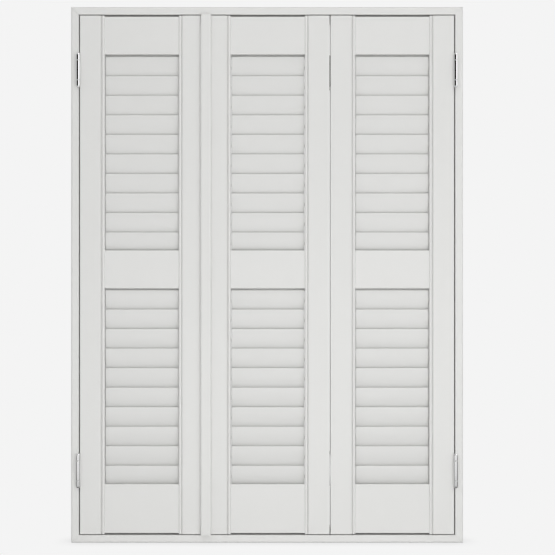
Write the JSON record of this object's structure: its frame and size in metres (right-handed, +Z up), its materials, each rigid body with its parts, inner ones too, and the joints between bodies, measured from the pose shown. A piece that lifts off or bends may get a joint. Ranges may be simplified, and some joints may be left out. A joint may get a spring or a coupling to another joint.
{
  "type": "louvred window shutter",
  "caption": "White louvred window shutter: hinged panels with tilting louvres, mid rail and beaded stiles in a mitred frame, one panel hung alone and two as a folding pair.",
  "frame": {"origin": "mid-width on the underside of the sill, in the mid-plane of the panels", "axes": "+Z up, -Y towards the room (the pictured front), +X to the right seen from the room"},
  "size_m": [0.8, 0.0543, 1.094],
  "materials": {
    "frame_paint": "white satin paint",
    "panel_paint": "white satin paint",
    "louvre_paint": "white satin paint",
    "hinge_metal": "polished",
    "bar_metal": "satin"
  },
  "bodies": {
    "frame": {"frame_left_jamb": "frame_paint", "frame_right_jamb": "frame_paint", "frame_head": "frame_paint", "frame_sill": "frame_paint", "frame_hinge_leaves": "hinge_metal"},
    "panel_1": {"panel_1_left_stile": "panel_paint", "panel_1_right_stile": "panel_paint", "panel_1_top_rail": "panel_paint", "panel_1_mid_rail": "panel_paint", "panel_1_bottom_rail": "panel_paint", "panel_1_hinge_leaves": "hinge_metal", "panel_1_lower_louvres": "louvre_paint"},
    "panel_2": {"panel_2_left_stile": "panel_paint", "panel_2_right_stile": "panel_paint", "panel_2_top_rail": "panel_paint", "panel_2_mid_rail": "panel_paint", "panel_2_bottom_rail": "panel_paint", "panel_2_hinge_leaves": "hinge_metal", "panel_2_lower_louvres": "louvre_paint", "astragal": "panel_paint"},
    "panel_3": {"panel_3_left_stile": "panel_paint", "panel_3_right_stile": "panel_paint", "panel_3_top_rail": "panel_paint", "panel_3_mid_rail": "panel_paint", "panel_3_bottom_rail": "panel_paint", "panel_3_hinge_leaves": "hinge_metal", "panel_3_lower_louvres": "louvre_paint"},
    "panel_1_louvre_01": {"panel_1_upper_louvre_01": "louvre_paint"},
    "panel_1_louvre_02": {"panel_1_upper_louvre_02": "louvre_paint"},
    "panel_1_louvre_03": {"panel_1_upper_louvre_03": "louvre_paint"},
    "panel_1_louvre_04": {"panel_1_upper_louvre_04": "louvre_paint"},
    "panel_1_louvre_05": {"panel_1_upper_louvre_05": "louvre_paint"},
    "panel_1_louvre_06": {"panel_1_upper_louvre_06": "louvre_paint"},
    "panel_1_louvre_07": {"panel_1_upper_louvre_07": "louvre_paint"},
    "panel_1_louvre_08": {"panel_1_upper_louvre_08": "louvre_paint"},
    "panel_1_louvre_09": {"panel_1_upper_louvre_09": "louvre_paint"},
    "panel_1_louvre_10": {"panel_1_upper_louvre_10": "louvre_paint"},
    "panel_1_tilt_bar": {"panel_1_upper_tilt_bar": "bar_metal"},
    "panel_2_louvre_01": {"panel_2_upper_louvre_01": "louvre_paint"},
    "panel_2_louvre_02": {"panel_2_upper_louvre_02": "louvre_paint"},
    "panel_2_louvre_03": {"panel_2_upper_louvre_03": "louvre_paint"},
    "panel_2_louvre_04": {"panel_2_upper_louvre_04": "louvre_paint"},
    "panel_2_louvre_05": {"panel_2_upper_louvre_05": "louvre_paint"},
    "panel_2_louvre_06": {"panel_2_upper_louvre_06": "louvre_paint"},
    "panel_2_louvre_07": {"panel_2_upper_louvre_07": "louvre_paint"},
    "panel_2_louvre_08": {"panel_2_upper_louvre_08": "louvre_paint"},
    "panel_2_louvre_09": {"panel_2_upper_louvre_09": "louvre_paint"},
    "panel_2_louvre_10": {"panel_2_upper_louvre_10": "louvre_paint"},
    "panel_2_tilt_bar": {"panel_2_upper_tilt_bar": "bar_metal"},
    "panel_3_louvre_01": {"panel_3_upper_louvre_01": "louvre_paint"},
    "panel_3_louvre_02": {"panel_3_upper_louvre_02": "louvre_paint"},
    "panel_3_louvre_03": {"panel_3_upper_louvre_03": "louvre_paint"},
    "panel_3_louvre_04": {"panel_3_upper_louvre_04": "louvre_paint"},
    "panel_3_louvre_05": {"panel_3_upper_louvre_05": "louvre_paint"},
    "panel_3_louvre_06": {"panel_3_upper_louvre_06": "louvre_paint"},
    "panel_3_louvre_07": {"panel_3_upper_louvre_07": "louvre_paint"},
    "panel_3_louvre_08": {"panel_3_upper_louvre_08": "louvre_paint"},
    "panel_3_louvre_09": {"panel_3_upper_louvre_09": "louvre_paint"},
    "panel_3_louvre_10": {"panel_3_upper_louvre_10": "louvre_paint"},
    "panel_3_tilt_bar": {"panel_3_upper_tilt_bar": "bar_metal"}
  },
  "joints": [
    {"name": "panel_1_swing", "type": "hinge", "parent": "frame", "child": "panel_1", "pos_m": [-0.38465, -0.0178, 0.547], "axis": [0, 0, -1], "range_deg": [0, 170]},
    {"name": "panel_3_swing", "type": "hinge", "parent": "frame", "child": "panel_3", "pos_m": [0.38465, -0.0178, 0.547], "axis": [0, 0, 1], "range_deg": [0, 90]},
    {"name": "panel_2_fold", "type": "hinge", "parent": "panel_3", "child": "panel_2", "pos_m": [0.1286, 0.0178, 0.547], "axis": [0, 0, -1], "range_deg": [0, 162]},
    {"name": "panel_1_louvre_01_tilt", "type": "hinge", "parent": "panel_1", "child": "panel_1_louvre_01", "pos_m": [-0.2557, 0, 0.9709], "axis": [1, 0, 0], "range_deg": [0, 100]},
    {"name": "panel_1_louvre_02_tilt", "type": "hinge", "parent": "panel_1", "child": "panel_1_louvre_02", "pos_m": [-0.2557, 0, 0.9309], "axis": [1, 0, 0], "range_deg": [0, 100]},
    {"name": "panel_1_louvre_03_tilt", "type": "hinge", "parent": "panel_1", "child": "panel_1_louvre_03", "pos_m": [-0.2557, 0, 0.8909], "axis": [1, 0, 0], "range_deg": [0, 100]},
    {"name": "panel_1_louvre_04_tilt", "type": "hinge", "parent": "panel_1", "child": "panel_1_louvre_04", "pos_m": [-0.2557, 0, 0.8509], "axis": [1, 0, 0], "range_deg": [0, 100]},
    {"name": "panel_1_louvre_05_tilt", "type": "hinge", "parent": "panel_1", "child": "panel_1_louvre_05", "pos_m": [-0.2557, 0, 0.8109], "axis": [1, 0, 0], "range_deg": [0, 100]},
    {"name": "panel_1_louvre_06_tilt", "type": "hinge", "parent": "panel_1", "child": "panel_1_louvre_06", "pos_m": [-0.2557, 0, 0.7709], "axis": [1, 0, 0], "range_deg": [0, 100]},
    {"name": "panel_1_louvre_07_tilt", "type": "hinge", "parent": "panel_1", "child": "panel_1_louvre_07", "pos_m": [-0.2557, 0, 0.7309], "axis": [1, 0, 0], "range_deg": [0, 100]},
    {"name": "panel_1_louvre_08_tilt", "type": "hinge", "parent": "panel_1", "child": "panel_1_louvre_08", "pos_m": [-0.2557, 0, 0.6909], "axis": [1, 0, 0], "range_deg": [0, 100]},
    {"name": "panel_1_louvre_09_tilt", "type": "hinge", "parent": "panel_1", "child": "panel_1_louvre_09", "pos_m": [-0.2557, 0, 0.6509], "axis": [1, 0, 0], "range_deg": [0, 100]},
    {"name": "panel_1_louvre_10_tilt", "type": "hinge", "parent": "panel_1", "child": "panel_1_louvre_10", "pos_m": [-0.2557, 0, 0.6109], "axis": [1, 0, 0], "range_deg": [0, 100]},
    {"name": "panel_1_tilt_bar_pivot", "type": "hinge", "parent": "panel_1_louvre_01", "child": "panel_1_tilt_bar", "pos_m": [-0.2557, 0.01063, 0.94241], "axis": [1, 0, 0], "range_deg": [-100, 0]},
    {"name": "panel_2_louvre_01_tilt", "type": "hinge", "parent": "panel_2", "child": "panel_2_louvre_01", "pos_m": [0.0015, 0, 0.9709], "axis": [1, 0, 0], "range_deg": [0, 100]},
    {"name": "panel_2_louvre_02_tilt", "type": "hinge", "parent": "panel_2", "child": "panel_2_louvre_02", "pos_m": [0.0015, 0, 0.9309], "axis": [1, 0, 0], "range_deg": [0, 100]},
    {"name": "panel_2_louvre_03_tilt", "type": "hinge", "parent": "panel_2", "child": "panel_2_louvre_03", "pos_m": [0.0015, 0, 0.8909], "axis": [1, 0, 0], "range_deg": [0, 100]},
    {"name": "panel_2_louvre_04_tilt", "type": "hinge", "parent": "panel_2", "child": "panel_2_louvre_04", "pos_m": [0.0015, 0, 0.8509], "axis": [1, 0, 0], "range_deg": [0, 100]},
    {"name": "panel_2_louvre_05_tilt", "type": "hinge", "parent": "panel_2", "child": "panel_2_louvre_05", "pos_m": [0.0015, 0, 0.8109], "axis": [1, 0, 0], "range_deg": [0, 100]},
    {"name": "panel_2_louvre_06_tilt", "type": "hinge", "parent": "panel_2", "child": "panel_2_louvre_06", "pos_m": [0.0015, 0, 0.7709], "axis": [1, 0, 0], "range_deg": [0, 100]},
    {"name": "panel_2_louvre_07_tilt", "type": "hinge", "parent": "panel_2", "child": "panel_2_louvre_07", "pos_m": [0.0015, 0, 0.7309], "axis": [1, 0, 0], "range_deg": [0, 100]},
    {"name": "panel_2_louvre_08_tilt", "type": "hinge", "parent": "panel_2", "child": "panel_2_louvre_08", "pos_m": [0.0015, 0, 0.6909], "axis": [1, 0, 0], "range_deg": [0, 100]},
    {"name": "panel_2_louvre_09_tilt", "type": "hinge", "parent": "panel_2", "child": "panel_2_louvre_09", "pos_m": [0.0015, 0, 0.6509], "axis": [1, 0, 0], "range_deg": [0, 100]},
    {"name": "panel_2_louvre_10_tilt", "type": "hinge", "parent": "panel_2", "child": "panel_2_louvre_10", "pos_m": [0.0015, 0, 0.6109], "axis": [1, 0, 0], "range_deg": [0, 100]},
    {"name": "panel_2_tilt_bar_pivot", "type": "hinge", "parent": "panel_2_louvre_01", "child": "panel_2_tilt_bar", "pos_m": [0.0015, 0.01063, 0.94241], "axis": [1, 0, 0], "range_deg": [-100, 0]},
    {"name": "panel_3_louvre_01_tilt", "type": "hinge", "parent": "panel_3", "child": "panel_3_louvre_01", "pos_m": [0.2557, 0, 0.9709], "axis": [1, 0, 0], "range_deg": [0, 100]},
    {"name": "panel_3_louvre_02_tilt", "type": "hinge", "parent": "panel_3", "child": "panel_3_louvre_02", "pos_m": [0.2557, 0, 0.9309], "axis": [1, 0, 0], "range_deg": [0, 100]},
    {"name": "panel_3_louvre_03_tilt", "type": "hinge", "parent": "panel_3", "child": "panel_3_louvre_03", "pos_m": [0.2557, 0, 0.8909], "axis": [1, 0, 0], "range_deg": [0, 100]},
    {"name": "panel_3_louvre_04_tilt", "type": "hinge", "parent": "panel_3", "child": "panel_3_louvre_04", "pos_m": [0.2557, 0, 0.8509], "axis": [1, 0, 0], "range_deg": [0, 100]},
    {"name": "panel_3_louvre_05_tilt", "type": "hinge", "parent": "panel_3", "child": "panel_3_louvre_05", "pos_m": [0.2557, 0, 0.8109], "axis": [1, 0, 0], "range_deg": [0, 100]},
    {"name": "panel_3_louvre_06_tilt", "type": "hinge", "parent": "panel_3", "child": "panel_3_louvre_06", "pos_m": [0.2557, 0, 0.7709], "axis": [1, 0, 0], "range_deg": [0, 100]},
    {"name": "panel_3_louvre_07_tilt", "type": "hinge", "parent": "panel_3", "child": "panel_3_louvre_07", "pos_m": [0.2557, 0, 0.7309], "axis": [1, 0, 0], "range_deg": [0, 100]},
    {"name": "panel_3_louvre_08_tilt", "type": "hinge", "parent": "panel_3", "child": "panel_3_louvre_08", "pos_m": [0.2557, 0, 0.6909], "axis": [1, 0, 0], "range_deg": [0, 100]},
    {"name": "panel_3_louvre_09_tilt", "type": "hinge", "parent": "panel_3", "child": "panel_3_louvre_09", "pos_m": [0.2557, 0, 0.6509], "axis": [1, 0, 0], "range_deg": [0, 100]},
    {"name": "panel_3_louvre_10_tilt", "type": "hinge", "parent": "panel_3", "child": "panel_3_louvre_10", "pos_m": [0.2557, 0, 0.6109], "axis": [1, 0, 0], "range_deg": [0, 100]},
    {"name": "panel_3_tilt_bar_pivot", "type": "hinge", "parent": "panel_3_louvre_01", "child": "panel_3_tilt_bar", "pos_m": [0.2557, 0.01063, 0.94241], "axis": [1, 0, 0], "range_deg": [-100, 0]}
  ],
  "couplings": [
    {"joint": "panel_2_fold", "follows": "panel_3_swing", "ratio": 1.8},
    {"joint": "panel_1_louvre_02_tilt", "follows": "panel_1_louvre_01_tilt", "ratio": 1},
    {"joint": "panel_1_louvre_03_tilt", "follows": "panel_1_louvre_01_tilt", "ratio": 1},
    {"joint": "panel_1_louvre_04_tilt", "follows": "panel_1_louvre_01_tilt", "ratio": 1},
    {"joint": "panel_1_louvre_05_tilt", "follows": "panel_1_louvre_01_tilt", "ratio": 1},
    {"joint": "panel_1_louvre_06_tilt", "follows": "panel_1_louvre_01_tilt", "ratio": 1},
    {"joint": "panel_1_louvre_07_tilt", "follows": "panel_1_louvre_01_tilt", "ratio": 1},
    {"joint": "panel_1_louvre_08_tilt", "follows": "panel_1_louvre_01_tilt", "ratio": 1},
    {"joint": "panel_1_louvre_09_tilt", "follows": "panel_1_louvre_01_tilt", "ratio": 1},
    {"joint": "panel_1_louvre_10_tilt", "follows": "panel_1_louvre_01_tilt", "ratio": 1},
    {"joint": "panel_1_tilt_bar_pivot", "follows": "panel_1_louvre_01_tilt", "ratio": -1},
    {"joint": "panel_2_louvre_02_tilt", "follows": "panel_2_louvre_01_tilt", "ratio": 1},
    {"joint": "panel_2_louvre_03_tilt", "follows": "panel_2_louvre_01_tilt", "ratio": 1},
    {"joint": "panel_2_louvre_04_tilt", "follows": "panel_2_louvre_01_tilt", "ratio": 1},
    {"joint": "panel_2_louvre_05_tilt", "follows": "panel_2_louvre_01_tilt", "ratio": 1},
    {"joint": "panel_2_louvre_06_tilt", "follows": "panel_2_louvre_01_tilt", "ratio": 1},
    {"joint": "panel_2_louvre_07_tilt", "follows": "panel_2_louvre_01_tilt", "ratio": 1},
    {"joint": "panel_2_louvre_08_tilt", "follows": "panel_2_louvre_01_tilt", "ratio": 1},
    {"joint": "panel_2_louvre_09_tilt", "follows": "panel_2_louvre_01_tilt", "ratio": 1},
    {"joint": "panel_2_louvre_10_tilt", "follows": "panel_2_louvre_01_tilt", "ratio": 1},
    {"joint": "panel_2_tilt_bar_pivot", "follows": "panel_2_louvre_01_tilt", "ratio": -1},
    {"joint": "panel_3_louvre_02_tilt", "follows": "panel_3_louvre_01_tilt", "ratio": 1},
    {"joint": "panel_3_louvre_03_tilt", "follows": "panel_3_louvre_01_tilt", "ratio": 1},
    {"joint": "panel_3_louvre_04_tilt", "follows": "panel_3_louvre_01_tilt", "ratio": 1},
    {"joint": "panel_3_louvre_05_tilt", "follows": "panel_3_louvre_01_tilt", "ratio": 1},
    {"joint": "panel_3_louvre_06_tilt", "follows": "panel_3_louvre_01_tilt", "ratio": 1},
    {"joint": "panel_3_louvre_07_tilt", "follows": "panel_3_louvre_01_tilt", "ratio": 1},
    {"joint": "panel_3_louvre_08_tilt", "follows": "panel_3_louvre_01_tilt", "ratio": 1},
    {"joint": "panel_3_louvre_09_tilt", "follows": "panel_3_louvre_01_tilt", "ratio": 1},
    {"joint": "panel_3_louvre_10_tilt", "follows": "panel_3_louvre_01_tilt", "ratio": 1},
    {"joint": "panel_3_tilt_bar_pivot", "follows": "panel_3_louvre_01_tilt", "ratio": -1}
  ]
}
